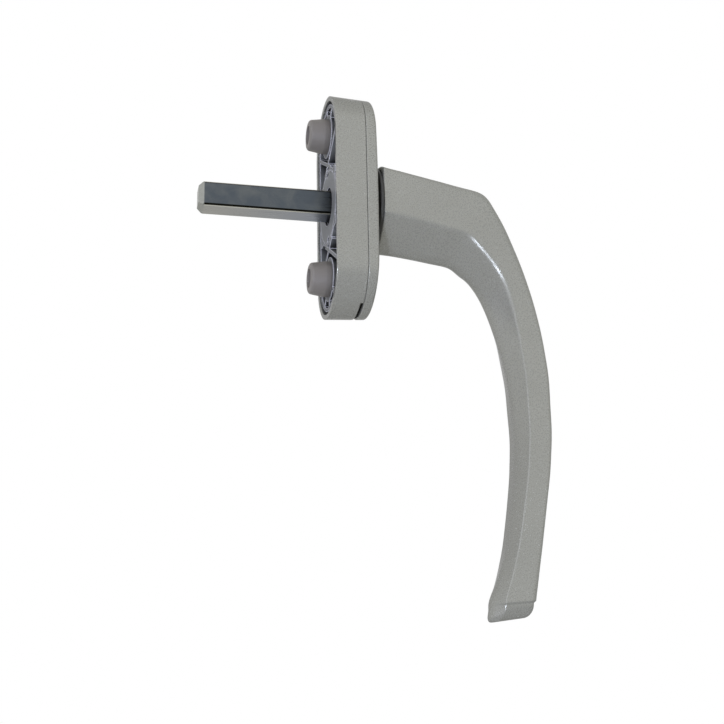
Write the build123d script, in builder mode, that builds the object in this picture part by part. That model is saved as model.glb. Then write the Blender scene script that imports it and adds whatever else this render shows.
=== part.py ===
"""Window handle with an oval rosette, a turning cover cap and a square spindle.

Frame, in millimetres: the origin is the centre of the rosette's back plane, on
the spindle's axis. +X points out of the window frame along that axis, +Z is up
and the lever hangs towards -Z, as it does on a closed window.
"""

from math import atan2, cos, degrees, dist, hypot, radians, sin, sqrt, tan
import os

from build123d import *

os.makedirs("parts", exist_ok=True)

# Interface to the window
screw_spacing = 43.0
screw_hole_radius = 2.7
screw_head_radius = 5.2
lug_radius = 4.9
lug_tip_radius = 4.25
lug_length = 5.2
lug_land = 1.0
lug_spigot_radius = 4.5
lug_tip_round = 0.9
spindle_size = 7.0
spindle_reach = 35.8
spindle_edge = 0.55
spindle_tip = 1.1
spindle_tip_length = 1.5

# Rosette housing, a drafted shell open to the window frame
rosette_length = 65.0
rosette_width = 27.8
rosette_draft = 2.4
housing_depth = 8.5
housing_wall = 1.3
housing_front = 1.6
screw_pad_radius = 6.4
screw_pad_height = 1.6
notch_half_length = 7.0
notch_depth = 1.9
notch_height = 1.0
housing_parting_bevel = 0.12

# Cover cap, which lifts and turns to bare the screws
cap_depth = 3.3
cap_crown = 0.6
cap_wall = 1.2
cap_web = 1.4
cap_edge_round = 0.7
cap_parting_bevel = 0.3

# Bearing bush with its visible flange, and the ring that guides the cap on it
journal_radius = 7.0
running_clearance = 0.06
bush_wall = 2.0
bush_collar_height = 0.6
bush_collar_lip = 0.7
flange_margin = 2.3
flange_thickness = 0.85
flange_round = 0.25
flange_gap = 1.15
cap_ring_wall = 1.45
cap_ring_height = 3.0
cap_ring_margin = 0.64
cap_ring_flange_thickness = 1.5

# Ribbed base plate inside the housing
plate_clearance = 0.9
plate_recess = 0.4
plate_web = 1.5
rib_thickness = 1.0
boss_wall = 1.2
spigot_play = 0.05
drum_radius = 9.9
drum_wall = 1.2
cross_rib_start = (-4.0, 10.5)
cross_rib_end = (11.0, 19.0)
end_rib_angles = (-48.0, 0.0, 48.0)
end_rib_length = 10.0

# Detent: a cam with four flats between two leaf springs
cam_across_flats = 14.4
cam_corner_radius = 8.6
cam_thickness = 2.9
cam_gap = 0.15
leaf_thickness = 0.4
leaf_width = 2.5
leaf_length = 18.8
leaf_play = 0.05
seat_inner = 6.6
seat_length = 3.6
seat_cheek = 1.0

# Retention behind the cam, and the disc that closes the drum
tail_radius = 6.2
tail_across_flats = 11.2
tail_stub = 0.65
washer_thickness = 0.6
washer_radius = 8.6
clip_thickness = 0.6
clip_groove_depth = 0.5
clip_width = 2.1
clip_opening = 62.0
disc_thickness = 0.8
disc_ledge = 0.4
disc_clearance = 0.1
disc_hole_radius = 5.4
disc_notch_width = 2.4
disc_notch_depth = 1.1

# Lever: a flat-sided bar with a keel under its neck that fades into the grip
neck_face_gap = 0.1
neck_bevel = 0.3
neck_top = 8.4
neck_slope = 0.18
grip_reach = 60.3
grip_apex_drop = 56.6
grip_upper_radius = 116.0
grip_lower_radius = 141.0
grip_straight_drop = 80.0
corner_round = 1.2
ridge_round = 0.4
keel_half = 2.4
socket_play = 0.05
socket_depth = 30.0
spindle_end_gap = 0.5
pin_radius = 1.25
pin_level = 9.4

# Even steps of the loft, which keep it from waving between its sections
lever_steps = 36

# Neck sections: share of the neck's length, then from the outer edge to the
# ridge (back and down), half width, keel and crown
neck_sections = (
    (0.0, 0.0, 13.0, 10.6, 7.4, 3.2),
    (0.27, 1.1, 12.8, 10.5, 6.8, 2.9),
    (0.52, 2.3, 12.6, 10.4, 6.5, 2.6),
    (0.73, 3.5, 12.5, 10.2, 6.3, 2.3),
    (0.89, 4.7, 12.4, 10.1, 6.2, 2.1),
)

# Grip sections: drop below the spindle's axis, then the same five sizes
grip_sections = (
    (2.2, 5.3, 10.5, 9.9, 5.4, 1.9),
    (7.6, 5.7, 7.7, 9.7, 4.6, 1.6),
    (14.0, 6.0, 4.5, 9.3, 4.3, 1.4),
    (21.3, 5.9, 2.5, 9.0, 4.0, 1.2),
    (30.0, 6.3, 1.6, 8.7, 3.2, 1.0),
    (40.0, 6.8, 1.0, 8.4, 2.1, 0.8),
    (51.0, 6.8, 0.4, 8.1, 1.4, 0.7),
    (62.0, 6.6, -0.2, 7.8, 0.9, 0.6),
    (73.0, 6.4, -0.7, 7.5, 0.6, 0.6),
    (83.0, 6.3, -1.0, 7.1, 0.5, 0.5),
    (93.0, 6.4, -1.3, 6.7, 0.4, 0.5),
    (101.0, 7.0, -1.5, 6.4, 0.8, 0.5),
    (104.8, 7.8, -0.8, 6.3, 1.2, 0.5),
    (108.6, 8.7, 0.5, 6.2, 1.8, 0.5),
)

# The tip: rounder corners, a small step in, then a domed end
tip_corner_round = 2.0
tip_corner_drop = 95.0
tip_step = 0.5
tip_drop = 112.9
tip_reach = 50.9
tip_sizes = (7.6, 0.9, 1.5, 0.3, 0.2)
tip_steps = 8

# Levels along the spindle's axis that several pieces share
front_face = housing_depth
front_wall_back = housing_depth - housing_front
pad_back = front_wall_back - screw_pad_height
web_back = pad_back - plate_web
disc_front = plate_recess + disc_thickness
cap_front = front_face + cap_depth
flange_back = cap_front + flange_gap
flange_front = flange_back + flange_thickness
flange_radius = rosette_width / 2 - flange_margin
neck_face = flange_front + neck_face_gap
bush_radius = journal_radius + bush_wall
bush_collar_radius = bush_radius + bush_collar_lip
bush_back = front_wall_back - bush_collar_height
cam_front = bush_back - cam_gap
cam_back = cam_front - cam_thickness
washer_back = cam_back - washer_thickness
clip_back = washer_back - clip_thickness
tail_end = clip_back - tail_stub
leaf_back = cam_back + (cam_thickness - leaf_width) / 2
leaf_height = cam_across_flats / 2 + leaf_play + leaf_thickness / 2
cap_ring_bore = bush_radius + running_clearance
cap_ring_radius = cap_ring_bore + cap_ring_wall
cap_inner_half = rosette_width / 2 - front_face * tan(radians(rosette_draft)) - cap_wall
cap_ring_flange_radius = cap_inner_half - cap_ring_margin
socket_size = spindle_size + 2 * socket_play
lug_centres = [(0, screw_spacing / 2), (0, -screw_spacing / 2)]

silver = (0.62, 0.62, 0.60)
grey_plastic = (0.48, 0.49, 0.50)
warm_grey_plastic = (0.50, 0.49, 0.47)
black_plastic = (0.08, 0.08, 0.08)
nylon = (0.80, 0.80, 0.77)
zinc = (0.65, 0.68, 0.70)
spring_steel = (0.40, 0.41, 0.43)


def across(level):
    """The plane square to the spindle's axis at this level, Y across and Z up."""
    return Plane.YZ.offset(level)


def oval(level, wall=0.0, mode=Mode.ADD):
    """The rosette's drafted outline at this level, drawn in by a wall."""
    inset = level * tan(radians(rosette_draft)) + wall
    SlotOverall(rosette_length - 2 * inset, rosette_width - 2 * inset, rotation=90, mode=mode)


def drafted(low, high, wall=0.0, mode=Mode.ADD):
    """A drafted slab of the rosette between two levels, a wall in from its face."""
    with BuildSketch(across(low)) as outline:
        oval(low, wall)
    extrude(outline.sketch, amount=high - low, taper=rosette_draft, mode=mode)


def round_slab(low, high, radius, mode=Mode.ADD):
    """A round slab on the spindle's axis between two levels."""
    with BuildSketch(across(low)) as outline:
        Circle(radius)
    extrude(outline.sketch, amount=high - low, mode=mode)


def slabs_at_lugs(low, high, radius, mode=Mode.ADD):
    """The same round slab at both screw centres."""
    with BuildSketch(across(low)) as outlines:
        with Locations(*lug_centres):
            Circle(radius)
    extrude(outlines.sketch, amount=high - low, mode=mode)


def rib(start, end):
    """A straight rib between two points of the current sketch."""
    run = (end[0] - start[0], end[1] - start[1])
    with Locations(((start[0] + end[0]) / 2, (start[1] + end[1]) / 2)):
        Rectangle(hypot(*run), rib_thickness, rotation=degrees(atan2(run[1], run[0])))


def publish(part, label, color):
    """Label a finished piece and write its file."""
    part.label = label
    part.color = Color(*color)
    export_step(part, f"parts/{label}.step")


# Rosette housing: the shell, its screw pads and the notch for prying the cap
with BuildPart() as rosette_housing:
    drafted(0, front_face)
    chamfer(rosette_housing.edges().group_by(Axis.X)[-1], housing_parting_bevel)
    drafted(0, front_wall_back, housing_wall, Mode.SUBTRACT)
    slabs_at_lugs(pad_back, front_wall_back, screw_pad_radius)
    round_slab(front_wall_back, front_face, bush_radius, Mode.SUBTRACT)
    with Locations(across(front_face)):
        with Locations(*lug_centres):
            CounterSinkHole(screw_hole_radius, screw_head_radius)
    with BuildSketch(across(front_face - notch_height)):
        with Locations((0, -rosette_length / 2)):
            Rectangle(2 * notch_half_length, rosette_width)
        oval(front_face, notch_depth, Mode.SUBTRACT)
    extrude(amount=notch_height, mode=Mode.SUBTRACT)
publish(rosette_housing.part, "rosette_housing", silver)


# Cover cap: a shallow drafted lid, hollow underneath, open around the bush
with BuildPart() as cover_cap:
    drafted(front_face, cap_front)
    with BuildSketch(Plane.XZ.offset(-rosette_width)):
        with BuildLine():
            crown_end = rosette_length / 2
            ThreePointArc(
                (cap_front - cap_crown, crown_end), (cap_front, 0), (cap_front - cap_crown, -crown_end)
            )
            Polyline(
                (cap_front - cap_crown, -crown_end),
                (cap_front + cap_depth, -crown_end),
                (cap_front + cap_depth, crown_end),
                (cap_front - cap_crown, crown_end),
            )
        make_face()
    extrude(amount=2 * rosette_width, mode=Mode.SUBTRACT)
    crowned_face = cover_cap.faces().sort_by(Axis.X)[-1]
    fillet(crowned_face.edges(), cap_edge_round)
    parting_edges = cover_cap.edges().group_by(Axis.X)[0]
    chamfer(parting_edges, cap_parting_bevel)
    drafted(front_face, cap_front - cap_web, cap_wall, Mode.SUBTRACT)
    round_slab(front_face, cap_front, cap_ring_radius + running_clearance, Mode.SUBTRACT)
publish(cover_cap.part, "cover_cap", silver)


# Ring that carries the cap: it slides on the bush and the cap turns around it
with BuildPart() as cap_guide_ring:
    round_slab(front_face, front_face + cap_ring_height, cap_ring_radius)
    round_slab(front_face, front_face + cap_ring_flange_thickness, cap_ring_flange_radius)
    round_slab(front_face, cap_front, cap_ring_bore, Mode.SUBTRACT)
publish(cap_guide_ring.part, "cap_guide_ring", nylon)


# Bearing bush: the journal turns in it, and its flange stands under the neck
with BuildPart() as bearing_bush:
    round_slab(bush_back, flange_front, bush_radius)
    round_slab(bush_back, front_wall_back, bush_collar_radius)
    round_slab(flange_back, flange_front, flange_radius)
    rims = bearing_bush.edges().filter_by(GeomType.CIRCLE).sort_by(SortBy.RADIUS)[-2:]
    fillet(rims, flange_round)
    round_slab(bush_back, flange_front, journal_radius + running_clearance, Mode.SUBTRACT)
publish(bearing_bush.part, "bearing_bush", black_plastic)


# Base plate: a ribbed moulding whose drum holds the detent between spring seats
with BuildPart() as base_plate:
    plate_wall = housing_wall + plate_clearance
    with BuildSketch(across(plate_recess)):
        oval(0, plate_wall)
        oval(0, plate_wall + rib_thickness, Mode.SUBTRACT)
        for up in (1, -1):
            lug_height = up * screw_spacing / 2
            for side in (1, -1):
                start = (side * cross_rib_start[0], up * cross_rib_start[1])
                rib(start, (side * cross_rib_end[0], up * cross_rib_end[1]))
            for angle in end_rib_angles:
                turn = radians(angle)
                rib(
                    (0, lug_height),
                    (end_rib_length * sin(turn), lug_height + up * end_rib_length * cos(turn)),
                )
        oval(0, plate_wall, Mode.INTERSECT)
        with Locations(*lug_centres):
            Circle(lug_radius + boss_wall)
    extrude(amount=web_back - plate_recess)
    with BuildSketch(across(web_back)):
        oval(web_back, plate_wall)
    extrude(amount=plate_web)
    round_slab(plate_recess, front_wall_back, drum_radius + drum_wall)
    with BuildSketch(across(plate_recess)):
        for side in (1, -1):
            for up in (1, -1):
                with Locations((side * (seat_inner + seat_length / 2), up * leaf_height)):
                    Rectangle(seat_length, leaf_thickness + 2 * (leaf_play + seat_cheek))
    extrude(amount=front_wall_back - plate_recess)
    round_slab(plate_recess, disc_front, drum_radius + disc_ledge, Mode.SUBTRACT)
    with BuildSketch(across(disc_front)):
        Circle(drum_radius)
        for side in (1, -1):
            for up in (1, -1):
                with Locations((side * (seat_inner + seat_length / 2), up * leaf_height)):
                    Rectangle(
                        seat_length,
                        leaf_thickness + 2 * (leaf_play + seat_cheek),
                        mode=Mode.SUBTRACT,
                    )
    extrude(amount=front_wall_back - disc_front, mode=Mode.SUBTRACT)
    with BuildSketch(across(leaf_back - leaf_play)):
        with Locations((0, leaf_height), (0, -leaf_height)):
            Rectangle(leaf_length + 2 * leaf_play, leaf_thickness + 2 * leaf_play)
    extrude(amount=front_wall_back - leaf_back + leaf_play, mode=Mode.SUBTRACT)
    round_slab(bush_back, front_wall_back, bush_collar_radius + leaf_play, Mode.SUBTRACT)
    slabs_at_lugs(plate_recess, web_back, lug_spigot_radius + spigot_play, Mode.SUBTRACT)
    slabs_at_lugs(web_back, pad_back, screw_hole_radius, Mode.SUBTRACT)
publish(base_plate.part, "base_plate", grey_plastic)


def lug_sleeve(centre):
    """A lug sleeve: a tapered land on the boss's rim and a spigot inside the boss."""
    with BuildPart() as sleeve:
        with BuildSketch(Plane.XZ):
            with BuildLine():
                Polyline(
                    (-lug_length, 0),
                    (-lug_length, lug_tip_radius),
                    (-lug_land, lug_radius),
                    (plate_recess, lug_radius),
                    (plate_recess, lug_spigot_radius),
                    (web_back, lug_spigot_radius),
                    (web_back, 0),
                    close=True,
                )
            make_face()
        revolve(axis=Axis.X)
        tip_edge = sleeve.edges().filter_by(GeomType.CIRCLE).sort_by(Axis.X)[0]
        fillet(tip_edge, lug_tip_round)
        round_slab(-lug_length, web_back, screw_hole_radius, Mode.SUBTRACT)
    return Pos(0, *centre) * sleeve.part


# Lug sleeves: tapered collars that locate the rosette in the frame's bores
for name, centre in zip(("upper_lug_sleeve", "lower_lug_sleeve"), lug_centres):
    publish(lug_sleeve(centre), name, warm_grey_plastic)


# Leaf springs that rest on two flats of the cam
for name, side in (("upper_detent_spring", 1), ("lower_detent_spring", -1)):
    with BuildPart() as leaf:
        with BuildSketch(across(leaf_back)):
            with Locations((0, side * leaf_height)):
                Rectangle(leaf_length, leaf_thickness)
        extrude(amount=leaf_width)
    publish(leaf.part, name, spring_steel)


# Disc that closes the drum, with two notches at its rim
with BuildPart() as closing_disc:
    disc_radius = drum_radius + disc_ledge - disc_clearance
    round_slab(plate_recess, disc_front, disc_radius)
    round_slab(plate_recess, disc_front, disc_hole_radius, Mode.SUBTRACT)
    with BuildSketch(across(plate_recess)):
        with Locations((0, disc_radius), (0, -disc_radius)):
            Rectangle(disc_notch_width, 2 * disc_notch_depth)
    extrude(amount=disc_thickness, mode=Mode.SUBTRACT)
publish(closing_disc.part, "closing_disc", grey_plastic)


# Detent cam: four flats with rounded corners, driven by the journal's flats
with BuildPart() as detent_cam:
    with BuildSketch(across(cam_back)):
        Rectangle(cam_across_flats, cam_across_flats)
        Circle(cam_corner_radius, mode=Mode.INTERSECT)
        with BuildSketch(mode=Mode.SUBTRACT):
            Circle(tail_radius)
            Rectangle(2 * tail_radius, tail_across_flats, mode=Mode.INTERSECT)
    extrude(amount=cam_thickness)
publish(detent_cam.part, "detent_cam", zinc)


# Thrust washer between the cam and the retaining ring
with BuildPart() as thrust_washer:
    round_slab(washer_back, cam_back, washer_radius)
    round_slab(washer_back, cam_back, tail_radius, Mode.SUBTRACT)
publish(thrust_washer.part, "thrust_washer", zinc)


# Retaining ring sprung into the groove behind the washer
with BuildPart() as retaining_ring:
    clip_bore = tail_radius - clip_groove_depth
    with BuildSketch(across(clip_back)):
        Circle(clip_bore + clip_width)
        Circle(clip_bore, mode=Mode.SUBTRACT)
        reach = 2 * (clip_bore + clip_width)
        half_opening = radians(clip_opening / 2)
        with BuildLine():
            Polyline(
                (0, 0),
                (reach * sin(half_opening), -reach * cos(half_opening)),
                (-reach * sin(half_opening), -reach * cos(half_opening)),
                close=True,
            )
        make_face(mode=Mode.SUBTRACT)
    extrude(amount=clip_thickness)
publish(retaining_ring.part, "retaining_ring", spring_steel)


def grip_outer(drop):
    """The grip's outer edge at this drop: two arcs from the apex, then straight."""
    if drop > grip_straight_drop:
        fall = grip_straight_drop - grip_apex_drop
        slope = fall / sqrt(grip_lower_radius**2 - fall**2)
        return grip_outer(grip_straight_drop) - slope * (drop - grip_straight_drop)
    radius = grip_upper_radius if drop < grip_apex_drop else grip_lower_radius
    return grip_reach - radius + sqrt(radius**2 - (grip_apex_drop - drop) ** 2)


def lever_section(x, z, back, down, half_width, keel, crown, shrink=0.0):
    """One section of the lever, from its outer edge at x, z to its ridge and keel.

    It has a crowned outer face, flat sides that end in sharp ridges, and two
    bevels that meet in a round keel.
    """
    depth = hypot(back, down) - 2 * shrink
    half_width = half_width - shrink
    plane = Plane(
        origin=(x - shrink * back / depth, 0, z - shrink * down / depth),
        x_dir=(0, 1, 0),
        z_dir=(down, 0, -back),
    )
    keel_bottom = -depth - keel
    keel_edge = min(keel_half, half_width / 2)
    keel_sag = keel_edge * tan(atan2(keel, half_width - keel_edge) / 2)
    toward_tip = (-z - tip_corner_drop) / (grip_sections[-1][0] - tip_corner_drop)
    corners = corner_round + min(max(toward_tip, 0), 1) * (tip_corner_round - corner_round)
    corners = min(corners, half_width / 3)
    with BuildSketch(plane) as face:
        with BuildLine():
            ThreePointArc((-half_width, 0), (0, crown), (half_width, 0))
            Polyline((half_width, 0), (half_width, -depth), (keel_edge, keel_bottom))
            ThreePointArc(
                (keel_edge, keel_bottom), (0, keel_bottom - keel_sag), (-keel_edge, keel_bottom)
            )
            Polyline((-keel_edge, keel_bottom), (-half_width, -depth), (-half_width, 0))
        make_face()
        for side in (0, -1):
            edges = face.vertices().group_by(Axis.X)[side].sort_by(Axis.Y)
            fillet(edges[-1], corners)
            edges = face.vertices().group_by(Axis.X)[side].sort_by(Axis.Y)
            fillet(edges[0], ridge_round)
    return face.sketch


def smooth_slopes(places, values):
    """Slopes of a curve through the values that never swings past them."""
    steps = [
        (end - start) / (far - near)
        for start, end, near, far in zip(values, values[1:], places, places[1:])
    ]
    inner = [2 * a * b / (a + b) if a * b > 0 else 0.0 for a, b in zip(steps, steps[1:])]
    return [steps[0], *inner, steps[-1]]


def even_stations(stations, count):
    """Stations at even steps along the bar, on smooth curves through the given ones."""
    middles = [(x - back / 2, z - down / 2) for x, z, back, down, *_ in stations]
    places = [0.0]
    for start, end in zip(middles, middles[1:]):
        places.append(places[-1] + dist(start, end))
    slopes = list(zip(*(smooth_slopes(places, values) for values in zip(*stations))))
    evened = []
    for step in range(count):
        place = places[-1] * step / (count - 1)
        at = max(i for i in range(len(places) - 1) if places[i] <= place)
        gap = places[at + 1] - places[at]
        t = (place - places[at]) / gap
        evened.append(
            [
                start + t * t * (3 - 2 * t) * (end - start) + gap * t * (1 - t) * (a - t * (a + b))
                for start, end, a, b in zip(
                    stations[at], stations[at + 1], slopes[at], slopes[at + 1]
                )
            ]
        )
    return evened


# Lever: the lofted bar, its bevelled ends, the journal and the spindle's socket
with BuildPart() as lever:
    neck_start = neck_face + neck_bevel
    neck_length = grip_outer(0) - neck_start
    stations = []
    for share, *sizes in neck_sections:
        out = share * neck_length
        stations.append((neck_start + out, neck_top - neck_slope * out, *sizes))
    for drop, *sizes in grip_sections:
        stations.append((grip_outer(drop), -drop, *sizes))
    sections = [lever_section(*station) for station in even_stations(stations, lever_steps)]
    loft(sections)
    x, z, *sizes = stations[0]
    loft([lever_section(x - neck_bevel, z, *sizes, shrink=neck_bevel), sections[0]], ruled=True)
    x, z, back, down, half_width, *sizes = stations[-1]
    step = (x - tip_step, z - tip_step, back - tip_step, down, half_width - tip_step, *sizes)
    loft([sections[-1], lever_section(*step)], ruled=True)
    tip = (tip_reach, -tip_drop, *tip_sizes)
    dome = []
    for count in range(tip_steps + 1):
        sunk = sin(radians(90) * count / tip_steps)
        closed = 1 - cos(radians(90) * count / tip_steps)
        shares = (closed, sunk, closed, closed, closed, closed**2, closed)
        dome.append(
            lever_section(*(a + share * (b - a) for a, b, share in zip(step, tip, shares)))
        )
    loft(dome)
    round_slab(cam_front, neck_face, journal_radius)
    with BuildSketch(across(tail_end)):
        Circle(tail_radius)
        Rectangle(2 * tail_radius, tail_across_flats, mode=Mode.INTERSECT)
    extrude(amount=cam_front - tail_end)
    with BuildSketch(across(clip_back)):
        Circle(journal_radius)
        Circle(tail_radius - clip_groove_depth, mode=Mode.SUBTRACT)
    extrude(amount=clip_thickness, mode=Mode.SUBTRACT)
    with BuildSketch(across(tail_end)):
        Rectangle(socket_size, socket_size)
    extrude(amount=socket_depth, mode=Mode.SUBTRACT)
    with BuildSketch(Plane.XZ.offset(-journal_radius)):
        with Locations((pin_level, 0)):
            Circle(pin_radius)
    extrude(amount=2 * journal_radius, mode=Mode.SUBTRACT)
publish(lever.part, "lever", silver)


# Spindle: a square bar with bevelled edges, pinned in the journal
with BuildPart() as spindle:
    with BuildSketch(across(-spindle_reach)):
        Rectangle(spindle_size, spindle_size)
    extrude(amount=spindle_reach + tail_end + socket_depth - spindle_end_gap)
    end_face = spindle.faces().sort_by(Axis.X)[0]
    chamfer(end_face.edges(), spindle_tip, spindle_tip_length, reference=end_face)
    chamfer(spindle.edges().filter_by(Axis.X), spindle_edge)
    with BuildSketch(Plane.XZ.offset(-journal_radius)):
        with Locations((pin_level, 0)):
            Circle(pin_radius)
    extrude(amount=2 * journal_radius, mode=Mode.SUBTRACT)
publish(spindle.part, "spindle", zinc)


# Cross pin through the journal and the spindle
with BuildPart() as spindle_pin:
    with BuildSketch(Plane.XZ.offset(-journal_radius + running_clearance)):
        with Locations((pin_level, 0)):
            Circle(pin_radius)
    extrude(amount=2 * (journal_radius - running_clearance))
publish(spindle_pin.part, "spindle_pin", zinc)
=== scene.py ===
import math

import bpy
from bpy.props import FloatProperty, FloatVectorProperty, PointerProperty
from mathutils import Matrix, Vector

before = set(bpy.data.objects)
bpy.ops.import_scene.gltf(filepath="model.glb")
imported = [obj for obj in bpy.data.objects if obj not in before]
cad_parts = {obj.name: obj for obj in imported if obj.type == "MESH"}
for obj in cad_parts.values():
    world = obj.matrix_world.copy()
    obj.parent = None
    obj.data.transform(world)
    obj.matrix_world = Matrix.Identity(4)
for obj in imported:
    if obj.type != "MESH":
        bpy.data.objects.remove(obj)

bl_info = {
    "name": "Window Handle",
    "version": (1, 0, 0),
    "blender": (4, 5, 0),
    "location": "3D View > Sidebar > Window Handle",
    "description": "Finishes the window handle's pieces and sets it in a plain studio",
    "category": "Object",
}

MM = 0.001

# Places on the handle that its finishes follow, in metres, in the frame of the CAD model
SPINDLE_HALF = 3.5 * MM
SPINDLE_BEVEL = 0.55 * MM
SPINDLE_TIP = -34.3 * MM
NECK_START = 13 * MM
KNEE_LOW = -22 * MM

# The point that the camera looks at, in metres, and half the width of the floor
CAMERA_AIM = (9.33 * MM, 0.0, -44.62 * MM)
FLOOR_HALF = 3.0

# A Mix node's two colour inputs and its colour output
MIX_A = 6
MIX_B = 7
MIX_COLOUR = 2

# Nearly all values of a noise texture lie between these
NOISE_SPAN = {"From Min": 0.3, "From Max": 0.7}

# Each lamp: the way from the camera's aim to it and its width, in metres, and its tint
LAMPS = {
    "key_lamp": ((-0.264, -0.514, -0.185), 0.06, "#DEE6FF"),
    "front_lamp": ((0.0, -0.7, 0.7), 0.8, "#FFFFFF"),
    "grip_lamp": ((0.6, -0.8, 0.0), 0.8, "#FFFFFF"),
    "left_lamp": ((-0.6, -0.5, 0.6), 1.0, "#F4F6FF"),
    "window_lamp": ((-0.95, -0.3, 0.0), 1.0, "#D2D4FF"),
}


# Colours and nodes


def linear(hex_colour):
    """The linear red, green and blue of an sRGB hex colour."""
    shares = [int(hex_colour[i : i + 2], 16) / 255 for i in (1, 3, 5)]
    return tuple(c / 12.92 if c <= 0.04045 else ((c + 0.055) / 1.055) ** 2.4 for c in shares)


def per_metre(size_mm):
    """The texture scale at which one feature of a pattern is size_mm across."""
    return 1.0 / (size_mm * MM)


def add(tree, kind, inputs=None, **settings):
    """Adds one node with its settings; each input is a value or another node's output."""
    made = tree.nodes.new("ShaderNode" + kind)
    for name, value in settings.items():
        setattr(made, name, value)
    for name, value in (inputs or {}).items():
        socket = made.inputs[name]
        if isinstance(value, bpy.types.NodeSocket):
            tree.links.new(value, socket)
        elif socket.type == "RGBA":
            socket.default_value = (*value, 1.0)[:4]
        else:
            socket.default_value = value
    return made


def new_finish(name):
    """An empty node material, its tree and the object coordinates that its patterns read."""
    material = bpy.data.materials.new(name)
    material.use_nodes = True
    tree = material.node_tree
    tree.nodes.clear()
    place = add(tree, "TexCoord").outputs["Object"]
    return material, tree, place


def close_finish(tree, shader):
    """Joins the shader to the material's output."""
    add(tree, "OutputMaterial", {"Surface": shader.outputs[0]})


def give(material, *nodes):
    """Puts the material on these CAD nodes in place of the one that they came with."""
    for name in nodes:
        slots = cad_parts[name].data.materials
        slots.clear()
        slots.append(material)


# Settings


class HandleColours(bpy.types.PropertyGroup):
    """Colours of the handle's finishes"""

    coating: FloatVectorProperty(
        name="Coating",
        description="Silver powder coat of the lever, the housing and the cap",
        subtype="COLOR",
        size=3,
        min=0.0,
        max=1.0,
        default=linear("#9F9F97"),
    )
    moulding: FloatVectorProperty(
        name="Base plate",
        description="Grey moulding inside the housing",
        subtype="COLOR",
        size=3,
        min=0.0,
        max=1.0,
        default=linear("#7D7E7C"),
    )
    lugs: FloatVectorProperty(
        name="Lugs",
        description="Warm grey moulding of the two lug sleeves",
        subtype="COLOR",
        size=3,
        min=0.0,
        max=1.0,
        default=linear("#88827A"),
    )
    bush: FloatVectorProperty(
        name="Bush",
        description="Near black moulding of the bearing bush",
        subtype="COLOR",
        size=3,
        min=0.0,
        max=1.0,
        default=linear("#464642"),
    )
    zinc: FloatVectorProperty(
        name="Zinc plating",
        description="Blue passivated plating of the spindle",
        subtype="COLOR",
        size=3,
        min=0.0,
        max=1.0,
        default=linear("#4D5359"),
    )


class StudioSizes(bpy.types.PropertyGroup):
    """Camera, floor and powers of the lamps"""

    lens: FloatProperty(
        name="Lens",
        description="Focal length on a sensor 36 mm wide",
        default=53.11,
        min=10.0,
        unit="CAMERA",
    )
    azimuth: FloatProperty(
        name="Azimuth",
        description="Turn of the camera round the vertical, from square on to the side",
        default=math.radians(-13.53),
        subtype="ANGLE",
    )
    elevation: FloatProperty(
        name="Elevation",
        description="Height of the camera above the level, below it where negative",
        default=math.radians(-14.95),
        subtype="ANGLE",
    )
    roll: FloatProperty(
        name="Roll",
        description="Turn of the camera about its own line of sight",
        default=math.radians(-1.14),
        subtype="ANGLE",
    )
    distance: FloatProperty(
        name="Distance",
        description="From the camera to the point that it looks at",
        default=289.97 * MM,
        min=0.05,
        subtype="DISTANCE",
        unit="LENGTH",
    )
    floor_drop: FloatProperty(
        name="Floor drop",
        description="How far the floor lies below the spindle's axis",
        default=320 * MM,
        min=0.12,
        subtype="DISTANCE",
        unit="LENGTH",
    )
    ambient: FloatProperty(
        name="Ambient light",
        description="Strength of the even light from all round",
        default=0.235,
        min=0.0,
    )
    key_lamp: FloatProperty(
        name="Key lamp",
        description="Power of the small lamp left of the camera that lights the knee's ridge",
        default=1.7,
        min=0.0,
        unit="POWER",
    )
    front_lamp: FloatProperty(
        name="Front lamp",
        description="Power of the soft lamp above the camera",
        default=0.46,
        min=0.0,
        unit="POWER",
    )
    grip_lamp: FloatProperty(
        name="Grip lamp",
        description="Power of the soft lamp right of the camera, which the grip's side reflects",
        default=0.36,
        min=0.0,
        unit="POWER",
    )
    left_lamp: FloatProperty(
        name="Left lamp",
        description="Power of the soft lamp high on the left",
        default=1.7,
        min=0.0,
        unit="POWER",
    )
    window_lamp: FloatProperty(
        name="Window lamp",
        description="Power of the soft lamp behind the rosette",
        default=0.98,
        min=0.0,
        unit="POWER",
    )


# Finishes


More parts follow.
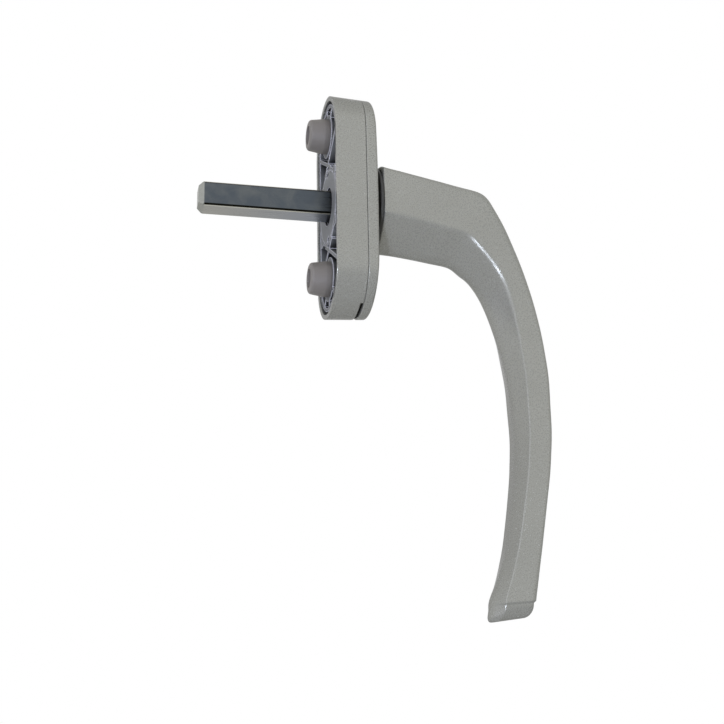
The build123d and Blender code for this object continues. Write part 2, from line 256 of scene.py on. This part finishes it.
class HANDLE_OT_coat_castings(bpy.types.Operator):
    """Silver powder coat on the lever, the housing and the cover cap"""

    bl_idname = "window_handle.coat_castings"
    bl_label = "Coat Castings"

    def execute(self, context):
        colour = tuple(context.scene.handle_colours.coating)
        # Polyester powder with aluminium flake, sprayed on cast aluminium and baked: an even satin
        # silver with a fine glitter and a faint orange peel.
        material, tree, place = new_finish("silver_powder_coat_on_cast_aluminium")
        # Flake is 0.05 mm; it is drawn at 0.35 mm, a little over one pixel, so that it shows.
        flake = add(tree, "TexNoise", {"Vector": place, "Scale": per_metre(0.35), "Detail": 1.0})
        cloud = add(tree, "TexNoise", {"Vector": place, "Scale": per_metre(14.0), "Detail": 2.0})
        glitter = add(
            tree,
            "MapRange",
            {"Value": flake.outputs["Fac"], **NOISE_SPAN, "To Min": 0.988, "To Max": 1.012},
        )
        drift = add(
            tree,
            "MapRange",
            {"Value": cloud.outputs["Fac"], **NOISE_SPAN, "To Min": 0.98, "To Max": 1.02},
        )
        level = add(
            tree,
            "Math",
            {0: glitter.outputs["Result"], 1: drift.outputs["Result"]},
            operation="MULTIPLY",
        )
        tone = add(
            tree, "VectorMath", {0: colour, "Scale": level.outputs["Value"]}, operation="SCALE"
        )
        gloss = add(
            tree,
            "MapRange",
            {"Value": flake.outputs["Fac"], **NOISE_SPAN, "To Min": 0.26, "To Max": 0.3},
        )
        # Orange peel: waves about 1.6 mm apart and a few microns high.
        peel = add(tree, "TexNoise", {"Vector": place, "Scale": per_metre(1.6), "Detail": 1.0})
        # Powder flows thick over every edge, so light catches on a soft round there. The round is
        # broad on the neck and the knee, and crisp down the grip and on the rosette.
        axes = add(tree, "SeparateXYZ", {"Vector": place})
        above_grip = add(
            tree,
            "MapRange",
            {"Value": axes.outputs["Z"], "From Min": KNEE_LOW - 20 * MM, "From Max": KNEE_LOW},
        )
        off_rosette = add(
            tree,
            "MapRange",
            {"Value": axes.outputs["X"], "From Min": NECK_START, "From Max": NECK_START + 7 * MM},
        )
        knee = add(
            tree,
            "Math",
            {0: above_grip.outputs["Result"], 1: off_rosette.outputs["Result"]},
            operation="MULTIPLY",
        )
        breadth = add(
            tree,
            "MapRange",
            {"Value": knee.outputs["Value"], "To Min": 0.35 * MM, "To Max": 2.4 * MM},
        )
        edge = add(tree, "Bevel", {"Radius": breadth.outputs["Result"]}, samples=12)
        skin = add(
            tree,
            "Bump",
            {
                "Height": peel.outputs["Fac"],
                "Strength": 0.25,
                "Distance": 0.02 * MM,
                "Normal": edge.outputs["Normal"],
            },
        )
        shader = add(
            tree,
            "BsdfPrincipled",
            {
                "Base Color": tone.outputs["Vector"],
                "Roughness": gloss.outputs["Result"],
                "Metallic": 0.5,
                "IOR": 1.5,
                "Specular IOR Level": 0.25,
                "Specular Tint": (0.4, 0.4, 0.4),
                "Normal": skin.outputs["Normal"],
            },
        )
        close_finish(tree, shader)
        give(material, "lever", "rosette_housing", "cover_cap")
        return {"FINISHED"}


class HANDLE_OT_finish_mouldings(bpy.types.Operator):
    """Grey nylon for the base plate and its closing disc"""

    bl_idname = "window_handle.finish_mouldings"
    bl_label = "Finish Base Plate"

    def execute(self, context):
        colour = tuple(context.scene.handle_colours.moulding)
        # Glass-filled nylon from a mould: matt, with pale swirls where the fibres reach the skin.
        material, tree, place = new_finish("moulded_glass_filled_nylon")
        swirl = add(
            tree,
            "TexNoise",
            {"Vector": place, "Scale": per_metre(4.0), "Detail": 4.0, "Distortion": 1.2},
        )
        grain = add(tree, "TexNoise", {"Vector": place, "Scale": per_metre(0.4), "Detail": 2.0})
        pale = tuple(min(1.0, c * 1.18) for c in colour)
        dull = tuple(c * 0.86 for c in colour)
        tone = add(
            tree,
            "Mix",
            {"Factor": swirl.outputs["Fac"], MIX_A: dull, MIX_B: pale},
            data_type="RGBA",
        )
        # Painted shade: the pockets between the ribs and other hollows are darkened by how
        # enclosed they are.
        painted_shade_pockets = add(tree, "AmbientOcclusion", {"Distance": 5.0 * MM}, samples=8)
        painted_shade_factor = add(
            tree,
            "MapRange",
            {
                "Value": painted_shade_pockets.outputs["AO"],
                "From Min": 0.3,
                "From Max": 0.9,
                "To Min": 0.08,
                "To Max": 1.1,
            },
        )
        tone = add(
            tree,
            "VectorMath",
            {0: tone.outputs[MIX_COLOUR], "Scale": painted_shade_factor.outputs["Result"]},
            operation="SCALE",
        )
        # Painted highlight: the ribs' edges are made pale where the rounded normal leans off the
        # flat one.
        edge = add(tree, "Bevel", {"Radius": 0.5 * MM}, samples=8)
        flat = add(tree, "NewGeometry")
        lean = add(
            tree,
            "VectorMath",
            {0: edge.outputs["Normal"], 1: flat.outputs["Normal"]},
            operation="DOT_PRODUCT",
        )
        painted_edge_highlight = add(
            tree,
            "MapRange",
            {
                "Value": lean.outputs["Value"],
                "From Min": 0.99,
                "From Max": 0.88,
                "To Min": 0.0,
                "To Max": 0.9,
            },
        )
        # The painted highlight is mixed in here, towards a pale grey.
        tone = add(
            tree,
            "Mix",
            {
                "Factor": painted_edge_highlight.outputs["Result"],
                MIX_A: tone.outputs["Vector"],
                MIX_B: linear("#E6E4E6"),
            },
            data_type="RGBA",
        )
        skin = add(
            tree,
            "Bump",
            {
                "Height": grain.outputs["Fac"],
                "Strength": 0.4,
                "Distance": 0.03 * MM,
                "Normal": edge.outputs["Normal"],
            },
        )
        shader = add(
            tree,
            "BsdfPrincipled",
            {
                "Base Color": tone.outputs[MIX_COLOUR],
                "Roughness": 0.55,
                "IOR": 1.53,
                "Specular IOR Level": 0.15,
                "Normal": skin.outputs["Normal"],
            },
        )
        close_finish(tree, shader)
        give(material, "base_plate", "closing_disc")
        return {"FINISHED"}


class HANDLE_OT_finish_lugs(bpy.types.Operator):
    """Warm grey nylon for the two lug sleeves"""

    bl_idname = "window_handle.finish_lugs"
    bl_label = "Finish Lugs"

    def execute(self, context):
        colour = tuple(context.scene.handle_colours.lugs)
        # Unfilled nylon from a spark-eroded mould: a soft even grey with a fine matt grain.
        material, tree, place = new_finish("moulded_grey_nylon")
        cloud = add(tree, "TexNoise", {"Vector": place, "Scale": per_metre(5.0), "Detail": 2.0})
        grain = add(tree, "TexNoise", {"Vector": place, "Scale": per_metre(0.3), "Detail": 2.0})
        pale = tuple(min(1.0, c * 1.08) for c in colour)
        dull = tuple(c * 0.92 for c in colour)
        tone = add(
            tree,
            "Mix",
            {"Factor": cloud.outputs["Fac"], MIX_A: dull, MIX_B: pale},
            data_type="RGBA",
        )
        # Painted shade: the bore and other hollows are darkened by how enclosed they are.
        painted_shade_bore = add(tree, "AmbientOcclusion", {"Distance": 4.0 * MM}, samples=8)
        painted_shade_factor = add(
            tree,
            "MapRange",
            {"Value": painted_shade_bore.outputs["AO"], "From Min": 0.2, "From Max": 0.8, "To Min": 0.25},
        )
        tone = add(
            tree,
            "VectorMath",
            {0: tone.outputs[MIX_COLOUR], "Scale": painted_shade_factor.outputs["Result"]},
            operation="SCALE",
        )
        skin = add(
            tree, "Bump", {"Height": grain.outputs["Fac"], "Strength": 0.3, "Distance": 0.02 * MM}
        )
        shader = add(
            tree,
            "BsdfPrincipled",
            {
                "Base Color": tone.outputs["Vector"],
                "Roughness": 0.55,
                "IOR": 1.53,
                "Normal": skin.outputs["Normal"],
            },
        )
        close_finish(tree, shader)
        give(material, "upper_lug_sleeve", "lower_lug_sleeve")
        return {"FINISHED"}


class HANDLE_OT_finish_bearing(bpy.types.Operator):
    """Black acetal for the bearing bush and natural nylon for the cap's ring"""

    bl_idname = "window_handle.finish_bearing"
    bl_label = "Finish Bearing"

    def execute(self, context):
        colour = tuple(context.scene.handle_colours.bush)
        # Acetal, moulded and then run in: black, smooth and slightly waxy, scored by turning.
        material, tree, place = new_finish("moulded_black_acetal")
        ring_marks = add(
            tree,
            "TexWave",
            {"Vector": place, "Scale": per_metre(0.5) / 6.3, "Distortion": 0.6},
            wave_type="RINGS",
            rings_direction="X",
        )
        skin = add(
            tree,
            "Bump",
            {"Height": ring_marks.outputs["Fac"], "Strength": 0.15, "Distance": 0.01 * MM},
        )
        shader = add(
            tree,
            "BsdfPrincipled",
            {
                "Base Color": colour,
                "Roughness": 0.45,
                "IOR": 1.48,
                "Specular IOR Level": 0.3,
                "Normal": skin.outputs["Normal"],
            },
        )
        close_finish(tree, shader)
        give(material, "bearing_bush")

        # Natural nylon, moulded: milky, lets a little light in and yellows where it is thick.
        material, tree, place = new_finish("moulded_natural_nylon")
        cloud = add(tree, "TexNoise", {"Vector": place, "Scale": per_metre(6.0), "Detail": 2.0})
        tone = add(
            tree,
            "Mix",
            {"Factor": cloud.outputs["Fac"], MIX_A: linear("#D2CFC2"), MIX_B: linear("#E2E0D8")},
            data_type="RGBA",
        )
        shader = add(
            tree,
            "BsdfPrincipled",
            {
                "Base Color": tone.outputs[MIX_COLOUR],
                "Roughness": 0.42,
                "IOR": 1.53,
                "Subsurface Weight": 0.15,
                "Subsurface Scale": 1.0 * MM,
            },
        )
        close_finish(tree, shader)
        give(material, "cap_guide_ring")
        return {"FINISHED"}


class HANDLE_OT_plate_steel(bpy.types.Operator):
    """Zinc on the spindle and the small turned parts, and oil on the spring steel"""

    bl_idname = "window_handle.plate_steel"
    bl_label = "Plate Steel"

    def execute(self, context):
        colour = tuple(context.scene.handle_colours.zinc)
        # Cold-drawn square bar, zinc plated and passivated: a cool dark blue grey, mottled, and
        # pale on the tip, where the plating has worn through. The two flats carry a painted
        # reflection, lighter than the sides, and each bevelled edge carries painted shade, near
        # black, on the half away from the flats and a painted highlight on the half next to them.
        material, tree, place = new_finish("blue_passivated_zinc_on_drawn_steel")
        axes = add(tree, "SeparateXYZ", {"Vector": place})
        off_y = add(tree, "Math", {0: axes.outputs["Y"]}, operation="ABSOLUTE")
        off_z = add(tree, "Math", {0: axes.outputs["Z"]}, operation="ABSOLUTE")
        off_both = add(
            tree,
            "Math",
            {0: off_y.outputs["Value"], 1: off_z.outputs["Value"]},
            operation="ADD",
        )
        bevel_face = 2 * SPINDLE_HALF - SPINDLE_BEVEL
        # Painted reflection: the mask of the two flats, top and bottom, which are made lighter.
        painted_reflection_flats_mask = add(
            tree,
            "MapRange",
            {
                "Value": off_z.outputs["Value"],
                "From Min": SPINDLE_HALF - 0.2 * MM,
                "From Max": SPINDLE_HALF - 0.05 * MM,
            },
        )
        # The painted reflection on the flats is warm in tone at the tip and bluish near the
        # rosette.
        toward_rosette = add(
            tree,
            "MapRange",
            {"Value": axes.outputs["X"], "From Min": -32 * MM, "From Max": -2 * MM},
        )
        flat_reflection_tone = add(
            tree,
            "Mix",
            {
                "Factor": toward_rosette.outputs["Result"],
                MIX_A: linear("#A09F98"),
                MIX_B: linear("#868B94"),
            },
            data_type="RGBA",
        )
        # Painted shade and highlight on the bevelled edges: near black on the half away from the
        # flats, pale on the half next to them.
        painted_bevel_mask = add(
            tree,
            "MapRange",
            {
                "Value": off_both.outputs["Value"],
                "From Min": bevel_face - 0.11 * MM,
                "From Max": bevel_face - 0.02 * MM,
            },
        )
        across_bevel = add(
            tree,
            "Math",
            {0: off_z.outputs["Value"], 1: off_y.outputs["Value"]},
            operation="SUBTRACT",
        )
        bevel_highlight_half = add(
            tree,
            "MapRange",
            {"Value": across_bevel.outputs["Value"], "From Min": 0.15 * MM, "From Max": 0.3 * MM},
        )
        painted_bevel_shade_highlight = add(
            tree,
            "Mix",
            {
                "Factor": bevel_highlight_half.outputs["Result"],
                MIX_A: linear("#16150F"),
                MIX_B: linear("#C6C5B8"),
            },
            data_type="RGBA",
        )
        tip = add(
            tree,
            "MapRange",
            {
                "Value": axes.outputs["X"],
                "From Min": SPINDLE_TIP + 0.1 * MM,
                "From Max": SPINDLE_TIP - 0.15 * MM,
            },
        )
        along = add(tree, "Mapping", {"Vector": place, "Scale": (0.05, 1.0, 1.0)})
        drawing = add(
            tree,
            "TexNoise",
            {"Vector": along.outputs["Vector"], "Scale": per_metre(0.5), "Detail": 3.0},
        )
        bloom = add(
            tree,
            "TexNoise",
            {"Vector": place, "Scale": per_metre(5.0), "Detail": 3.0, "Distortion": 0.6},
        )
        straw = tuple(c * k for c, k in zip(colour, (1.5, 1.4, 1.25)))
        patch = add(
            tree,
            "MapRange",
            {"Value": bloom.outputs["Fac"], "From Min": 0.4, "From Max": 0.75},
        )
        tone = add(
            tree,
            "Mix",
            {"Factor": patch.outputs["Result"], MIX_A: colour, MIX_B: straw},
            data_type="RGBA",
        )
        # The painted reflection is laid on the flats here.
        tone = add(
            tree,
            "Mix",
            {
                "Factor": painted_reflection_flats_mask.outputs["Result"],
                MIX_A: tone.outputs[MIX_COLOUR],
                MIX_B: flat_reflection_tone.outputs[MIX_COLOUR],
            },
            data_type="RGBA",
        )
        # The painted shade and highlight are laid on the bevels here.
        tone = add(
            tree,
            "Mix",
            {
                "Factor": painted_bevel_mask.outputs["Result"],
                MIX_A: tone.outputs[MIX_COLOUR],
                MIX_B: painted_bevel_shade_highlight.outputs[MIX_COLOUR],
            },
            data_type="RGBA",
        )
        tone = add(
            tree,
            "Mix",
            {
                "Factor": tip.outputs["Result"],
                MIX_A: tone.outputs[MIX_COLOUR],
                MIX_B: linear("#85867F"),
            },
            data_type="RGBA",
        )
        gloss = add(
            tree,
            "MapRange",
            {"Value": drawing.outputs["Fac"], **NOISE_SPAN, "To Min": 0.24, "To Max": 0.4},
        )
        skin = add(
            tree,
            "Bump",
            {"Height": drawing.outputs["Fac"], "Strength": 0.35, "Distance": 0.02 * MM},
        )
        shader = add(
            tree,
            "BsdfPrincipled",
            {
                "Base Color": tone.outputs[MIX_COLOUR],
                "Metallic": 1.0,
                "Roughness": gloss.outputs["Result"],
                "Normal": skin.outputs["Normal"],
            },
        )
        close_finish(tree, shader)
        give(material, "spindle")

        # Turned and punched steel, barrel plated with bright zinc: cool grey with soft clouds.
        material, tree, place = new_finish("barrel_zinc_plate")
        cloud = add(tree, "TexNoise", {"Vector": place, "Scale": per_metre(2.0), "Detail": 3.0})
        tone = add(
            tree,
            "Mix",
            {"Factor": cloud.outputs["Fac"], MIX_A: linear("#8E9499"), MIX_B: linear("#A8ADB0")},
            data_type="RGBA",
        )
        shader = add(
            tree,
            "BsdfPrincipled",
            {"Base Color": tone.outputs[MIX_COLOUR], "Metallic": 1.0, "Roughness": 0.32},
        )
        close_finish(tree, shader)
        give(material, "spindle_pin", "thrust_washer", "detent_cam")

        # Spring strip, rolled, hardened and oiled: dark, with fine rolling lines.
        material, tree, place = new_finish("oiled_spring_steel")
        along = add(tree, "Mapping", {"Vector": place, "Scale": (1.0, 0.06, 1.0)})
        rolling = add(
            tree,
            "TexNoise",
            {"Vector": along.outputs["Vector"], "Scale": per_metre(0.4), "Detail": 3.0},
        )
        gloss = add(
            tree,
            "MapRange",
            {"Value": rolling.outputs["Fac"], **NOISE_SPAN, "To Min": 0.28, "To Max": 0.45},
        )
        shader = add(
            tree,
            "BsdfPrincipled",
            {
                "Base Color": linear("#6A6B70"),
                "Metallic": 1.0,
                "Roughness": gloss.outputs["Result"],
            },
        )
        close_finish(tree, shader)
        give(material, "upper_detent_spring", "lower_detent_spring", "retaining_ring")
        return {"FINISHED"}


# Studio


def shown_white(tree, lit, white):
    """Mixes a lit shader with a plain white one for what the camera, gloss and glass see."""
    path = add(tree, "LightPath")
    seen = add(
        tree,
        "Math",
        {0: path.outputs["Is Camera Ray"], 1: path.outputs["Is Glossy Ray"]},
        operation="MAXIMUM",
    )
    seen = add(
        tree,
        "Math",
        {0: seen.outputs["Value"], 1: path.outputs["Is Transmission Ray"]},
        operation="MAXIMUM",
    )
    return add(
        tree,
        "MixShader",
        {0: seen.outputs["Value"], 1: lit.outputs[0], 2: white.outputs[0]},
    )


def hang_lamp(name, aim, way, width, tint, power):
    """A soft square lamp that hangs off aim by way and faces it."""
    lamp = bpy.data.lights.new(name, "AREA")
    lamp.shape = "SQUARE"
    lamp.size = width
    lamp.color = linear(tint)
    lamp.energy = power
    hung = bpy.data.objects.new(name, lamp)
    hung.location = aim + way
    hung.rotation_mode = "QUATERNION"
    hung.rotation_quaternion = (-way).to_track_quat("-Z", "Y")
    bpy.context.scene.collection.objects.link(hung)


class HANDLE_OT_set_studio(bpy.types.Operator):
    """Pale floor, soft lamps, white surroundings and the camera"""

    bl_idname = "window_handle.set_studio"
    bl_label = "Set Studio"

    def execute(self, context):
        sizes = context.scene.handle_studio
        aim = Vector(CAMERA_AIM)

        # Floor: a matt white sheet. What the camera sees of it is partly plain white, so that it
        # stays pale and keeps the shadow, and it fades into the white surroundings far away.
        half = FLOOR_HALF
        low = -sizes.floor_drop
        mesh = bpy.data.meshes.new("floor")
        mesh.from_pydata(
            [(-half, -half, low), (half, -half, low), (half, half, low), (-half, half, low)],
            [],
            [(0, 1, 2, 3)],
        )
        floor = bpy.data.objects.new("floor", mesh)
        context.scene.collection.objects.link(floor)
        material, tree, place = new_finish("matt_white_paper")
        fibre = add(tree, "TexNoise", {"Vector": place, "Scale": per_metre(1.0), "Detail": 2.0})
        tooth = add(
            tree, "Bump", {"Height": fibre.outputs["Fac"], "Strength": 0.1, "Distance": 0.05 * MM}
        )
        paper = add(
            tree,
            "BsdfDiffuse",
            {"Color": linear("#F2F2F2"), "Normal": tooth.outputs["Normal"]},
        )
        plain = add(tree, "Emission", {"Color": (1.0, 1.0, 1.0), "Strength": 1.0})
        away = add(tree, "VectorMath", {0: place}, operation="LENGTH")
        fade = add(
            tree,
            "MapRange",
            {
                "Value": away.outputs["Value"],
                "From Min": 0.5,
                "From Max": 2.0,
                "To Min": 0.62,
                "To Max": 1.0,
            },
        )
        pale = add(
            tree,
            "MixShader",
            {0: fade.outputs["Result"], 1: paper.outputs[0], 2: plain.outputs[0]},
        )
        close_finish(tree, shown_white(tree, paper, pale))
        mesh.materials.append(material)

        world = bpy.data.worlds.new("white_studio")
        world.use_nodes = True
        tree = world.node_tree
        tree.nodes.clear()
        lit = add(tree, "Background", {"Color": (1.0, 1.0, 1.0), "Strength": sizes.ambient})
        white = add(tree, "Background", {"Color": (1.0, 1.0, 1.0), "Strength": 1.0})
        add(tree, "OutputWorld", {"Surface": shown_white(tree, lit, white).outputs[0]})
        context.scene.world = world

        for name, (way, width, tint) in LAMPS.items():
            hang_lamp(name, aim, Vector(way), width, tint, getattr(sizes, name))

        # The camera's own axes, from its turn, height and roll
        turn, height, roll = sizes.azimuth, sizes.elevation, sizes.roll
        back = Vector(
            (
                math.sin(turn) * math.cos(height),
                -math.cos(turn) * math.cos(height),
                math.sin(height),
            )
        )
        level = Vector((math.cos(turn), math.sin(turn), 0.0))
        upright = back.cross(level)
        right = level * math.cos(roll) + upright * math.sin(roll)
        up = upright * math.cos(roll) - level * math.sin(roll)
        lens = bpy.data.cameras.new("camera")
        lens.sensor_width = 36.0
        lens.lens = sizes.lens
        lens.clip_start = 0.01
        lens.clip_end = 20.0
        camera = bpy.data.objects.new("camera", lens)
        context.scene.collection.objects.link(camera)
        camera.rotation_mode = "QUATERNION"
        camera.rotation_quaternion = Matrix((right, up, back)).transposed().to_quaternion()
        camera.location = aim + back * sizes.distance
        context.scene.camera = camera
        context.scene.view_settings.view_transform = "Standard"
        return {"FINISHED"}


class HANDLE_PT_build(bpy.types.Panel):
    """The steps that finish the handle, in order"""

    bl_idname = "HANDLE_PT_build"
    bl_label = "Window Handle"
    bl_space_type = "VIEW_3D"
    bl_region_type = "UI"
    bl_category = "Window Handle"

    def draw(self, context):
        for step in STEPS:
            self.layout.operator(step.bl_idname)
        for group in (context.scene.handle_colours, context.scene.handle_studio):
            column = self.layout.column()
            for name in group.bl_rna.properties.keys():
                if name not in ("rna_type", "name"):
                    column.prop(group, name)


STEPS = (
    HANDLE_OT_coat_castings,
    HANDLE_OT_finish_mouldings,
    HANDLE_OT_finish_lugs,
    HANDLE_OT_finish_bearing,
    HANDLE_OT_plate_steel,
    HANDLE_OT_set_studio,
)
CLASSES = (HandleColours, StudioSizes, *STEPS, HANDLE_PT_build)


def register():
    for cls in CLASSES:
        bpy.utils.register_class(cls)
    bpy.types.Scene.handle_colours = PointerProperty(type=HandleColours)
    bpy.types.Scene.handle_studio = PointerProperty(type=StudioSizes)


def unregister():
    del bpy.types.Scene.handle_studio
    del bpy.types.Scene.handle_colours
    for cls in reversed(CLASSES):
        bpy.utils.unregister_class(cls)


def main():
    """Runs the steps in order."""
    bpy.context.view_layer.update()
    register()
    for step in STEPS:
        group, name = step.bl_idname.split(".")
        getattr(getattr(bpy.ops, group), name)()


if __name__ == "__main__":
    main()
